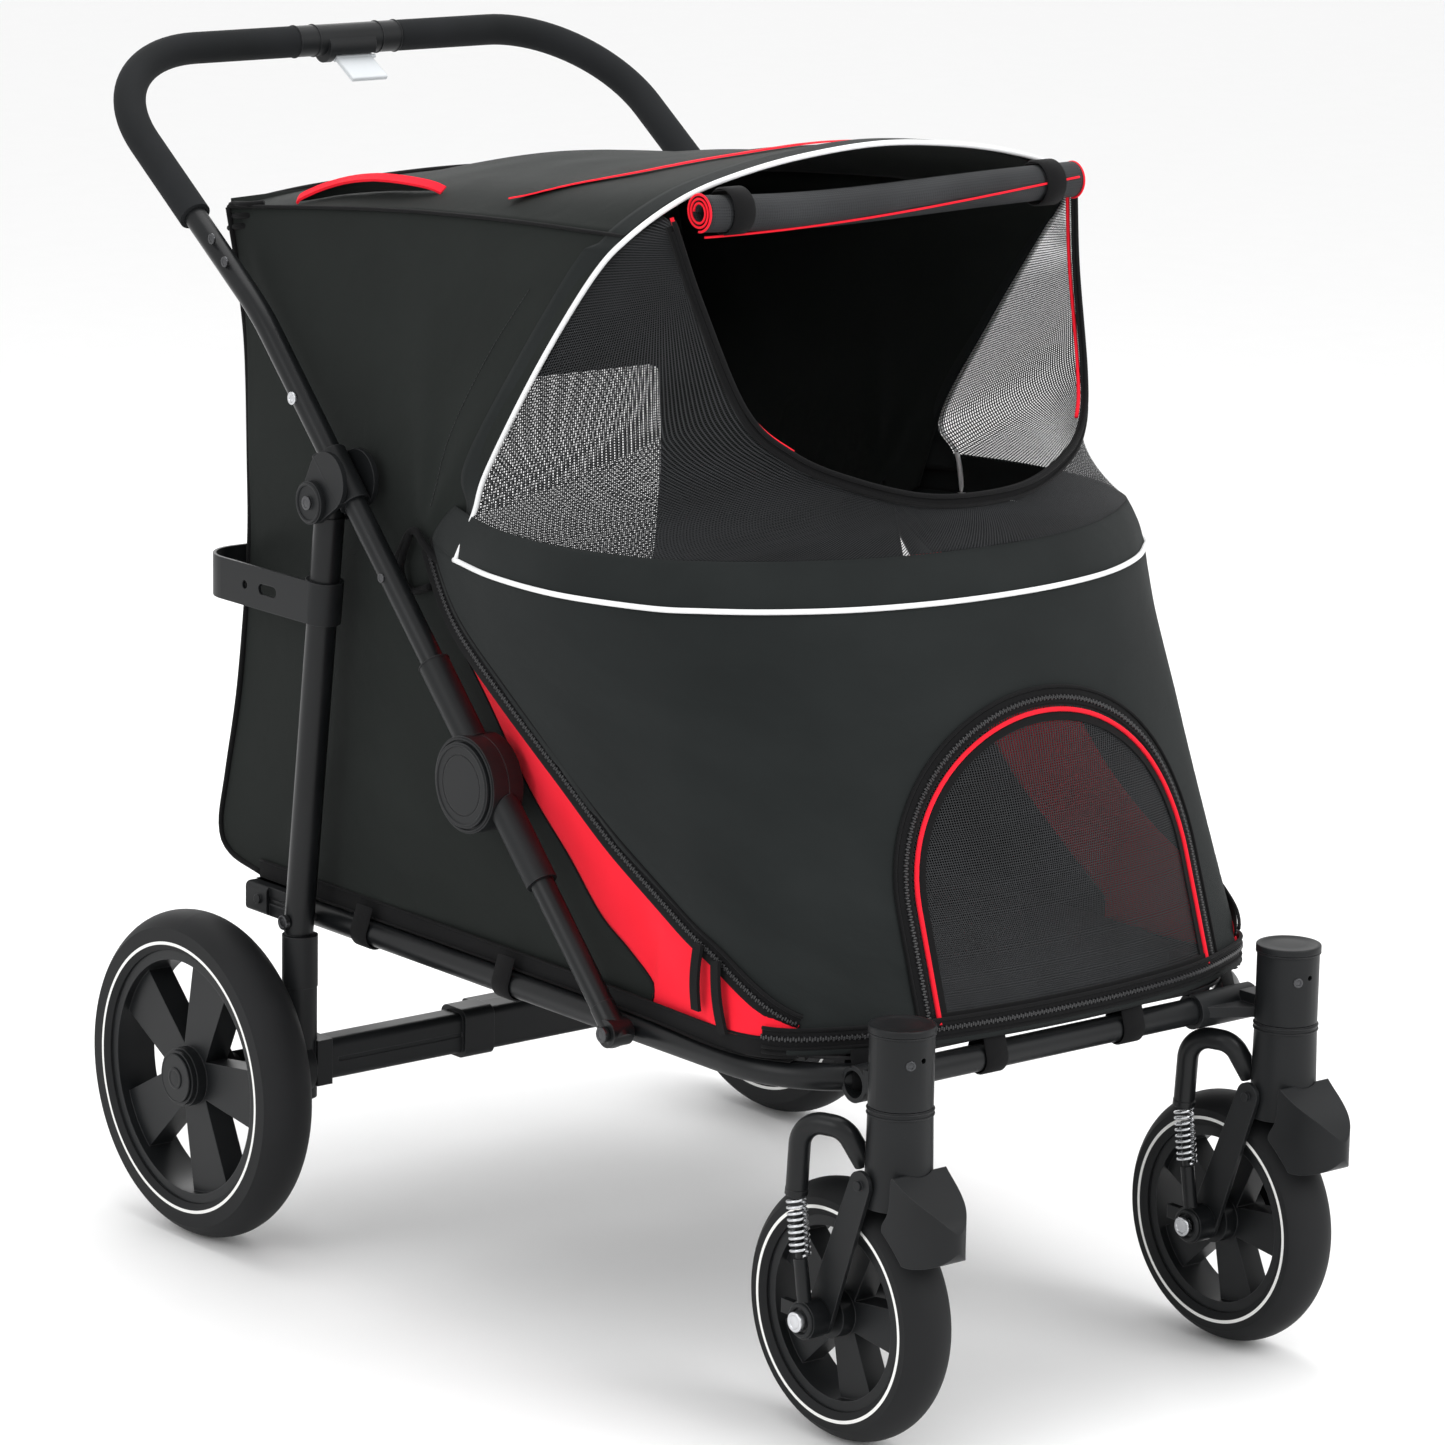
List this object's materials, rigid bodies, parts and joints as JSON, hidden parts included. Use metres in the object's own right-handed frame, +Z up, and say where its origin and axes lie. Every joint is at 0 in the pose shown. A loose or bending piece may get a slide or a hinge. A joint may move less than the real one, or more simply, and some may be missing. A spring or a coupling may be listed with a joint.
{
  "type": "pet stroller",
  "caption": "Folding pet stroller with a zipped cloth cabin, rolled-up window, front door flap, curved push handle, brake pedal and sprung swivelling front wheels.",
  "frame": {"origin": "centre of the object's outline on the ground, under the middle of the stroller", "axes": "+Z up, front towards -Y, the stroller's left side towards -X, the frame symmetric about X = 0; the door and the front springs sit a little to one side"},
  "size_m": [0.735, 1.1712, 1.0577],
  "materials": {
    "frame_black": "satin powder coat",
    "black_plastic": "fine moulded grain",
    "bright_steel": "bright",
    "black_foam": "matte foam",
    "pale_plastic": "satin",
    "wire_steel": "satin",
    "black_fabric": "woven polyester",
    "grey_fabric": "woven polyester",
    "red_fabric": "woven polyester",
    "mesh_fabric": "knitted mesh",
    "board_plastic": "matte",
    "black_rubber": "matte rubber"
  },
  "bodies": {
    "chassis": {"base_frame": "frame_black", "caster_heads": "black_plastic", "head_brackets": "black_plastic", "floor_crossbars": "frame_black", "floor_board": "board_plastic", "floor_mat": "grey_fabric", "frame_pivot_bolts": "bright_steel", "rear_corner_brackets": "black_plastic", "side_panel_left": "black_fabric", "side_panel_right": "black_fabric", "red_side_panels": "red_fabric", "front_panel": "grey_fabric", "belt_band": "grey_fabric", "window_mesh": "mesh_fabric", "rolled_window_flap": "mesh_fabric", "roof_panel": "grey_fabric", "rear_panel": "black_fabric", "rear_window_mesh": "mesh_fabric", "cabin_wires": "wire_steel"},
    "door": {"door_flap": "grey_fabric"},
    "rear_legs": {"leg_tubes": "frame_black", "leg_housings": "black_plastic", "rear_beams": "black_plastic", "beam_bracket": "black_plastic", "rear_axle_stubs": "bright_steel", "brace_band": "black_plastic"},
    "brake_pedal": {"brake_pedal": "black_plastic"},
    "struts": {"strut_tubes": "frame_black", "fold_joint_lower": "black_plastic"},
    "handle_frame": {"handle_tubes": "frame_black", "handle_grips": "black_foam", "handle_hub": "black_plastic", "fold_joint_upper": "black_plastic", "leg_clamps": "black_plastic", "pivot_caps": "black_plastic"},
    "release_lever": {"release_lever": "pale_plastic"},
    "rear_wheel_left": {"rear_tyre_left": "black_rubber", "rear_rim_left": "black_plastic", "rear_hub_cap_left": "black_plastic"},
    "caster_left": {"caster_housing_left": "black_plastic", "caster_fairing_left": "black_plastic", "gooseneck_left": "frame_black", "coil_spring_left": "bright_steel"},
    "caster_arm_left": {"swing_fork_left": "black_plastic", "front_axle_bolt_left": "bright_steel", "spring_rod_left": "frame_black"},
    "front_wheel_left": {"front_tyre_left": "black_rubber", "front_rim_left": "black_plastic"},
    "rear_wheel_right": {"rear_tyre_right": "black_rubber", "rear_rim_right": "black_plastic", "rear_hub_cap_right": "black_plastic"},
    "caster_right": {"caster_housing_right": "black_plastic", "caster_fairing_right": "black_plastic", "gooseneck_right": "frame_black", "coil_spring_right": "bright_steel"},
    "caster_arm_right": {"swing_fork_right": "black_plastic", "front_axle_bolt_right": "bright_steel", "spring_rod_right": "frame_black"},
    "front_wheel_right": {"front_tyre_right": "black_rubber", "front_rim_right": "black_plastic"}
  },
  "joints": [
    {"name": "leg_fold", "type": "hinge", "parent": "chassis", "child": "rear_legs", "pos_m": [0, 0.229, 0.303], "axis": [1, 0, 0], "range_deg": [0, 65], "deforming": ["side_panel_left", "side_panel_right", "red_side_panels", "front_panel", "belt_band", "window_mesh", "rolled_window_flap", "roof_panel", "rear_panel", "rear_window_mesh", "cabin_wires", "brace_band"]},
    {"name": "strut_fold", "type": "hinge", "parent": "chassis", "child": "struts", "pos_m": [0, -0.23, 0.305], "axis": [1, 0, 0], "range_deg": [0, 103.5]},
    {"name": "handle_fold", "type": "hinge", "parent": "struts", "child": "handle_frame", "pos_m": [0, -0.03802, 0.48105], "axis": [1, 0, 0], "range_deg": [-152.2, 0]},
    {"name": "lever_squeeze", "type": "hinge", "parent": "handle_frame", "child": "release_lever", "pos_m": [0, 0.5629, 1.026], "axis": [1, 0, 0], "range_deg": [-15, 0], "stiffness_Nm_per_rad": 1.5, "springref_deg": 5.73},
    {"name": "brake_press", "type": "hinge", "parent": "rear_legs", "child": "brake_pedal", "pos_m": [0, 0.262, 0.168], "axis": [1, 0, 0], "range_deg": [-20, 0]},
    {"name": "door_open", "type": "hinge", "parent": "chassis", "child": "door", "pos_m": [0, -0.472, 0.3382], "axis": [1, 0, 0], "range_deg": [0, 95]},
    {"name": "rear_wheel_left_spin", "type": "hinge", "parent": "rear_legs", "child": "rear_wheel_left", "pos_m": [-0.339, 0.31, 0.15], "axis": [1, 0, 0], "continuous": true},
    {"name": "caster_left_swivel", "type": "hinge", "parent": "chassis", "child": "caster_left", "pos_m": [-0.216, -0.51, 0.298], "axis": [0, 0, 1], "continuous": true},
    {"name": "caster_arm_left_travel", "type": "hinge", "parent": "caster_left", "child": "caster_arm_left", "pos_m": [-0.216, -0.5, 0.233], "axis": [1, 0, 0], "range_deg": [0, 8], "stiffness_Nm_per_rad": 12, "springref_deg": -11.46, "deforming": ["coil_spring_left"]},
    {"name": "front_wheel_left_spin", "type": "hinge", "parent": "caster_arm_left", "child": "front_wheel_left", "pos_m": [-0.216, -0.453, 0.11], "axis": [1, 0, 0], "continuous": true},
    {"name": "rear_wheel_right_spin", "type": "hinge", "parent": "rear_legs", "child": "rear_wheel_right", "pos_m": [0.339, 0.31, 0.15], "axis": [1, 0, 0], "continuous": true},
    {"name": "caster_right_swivel", "type": "hinge", "parent": "chassis", "child": "caster_right", "pos_m": [0.216, -0.51, 0.298], "axis": [0, 0, 1], "continuous": true},
    {"name": "caster_arm_right_travel", "type": "hinge", "parent": "caster_right", "child": "caster_arm_right", "pos_m": [0.216, -0.5, 0.233], "axis": [1, 0, 0], "range_deg": [0, 8], "stiffness_Nm_per_rad": 12, "springref_deg": -11.46, "deforming": ["coil_spring_right"]},
    {"name": "front_wheel_right_spin", "type": "hinge", "parent": "caster_arm_right", "child": "front_wheel_right", "pos_m": [0.216, -0.453, 0.11], "axis": [1, 0, 0], "continuous": true}
  ],
  "couplings": [
    {"joint": "strut_fold", "follows": "leg_fold", "ratio": 1.5915},
    {"joint": "handle_fold", "follows": "leg_fold", "ratio": -2.3403}
  ]
}
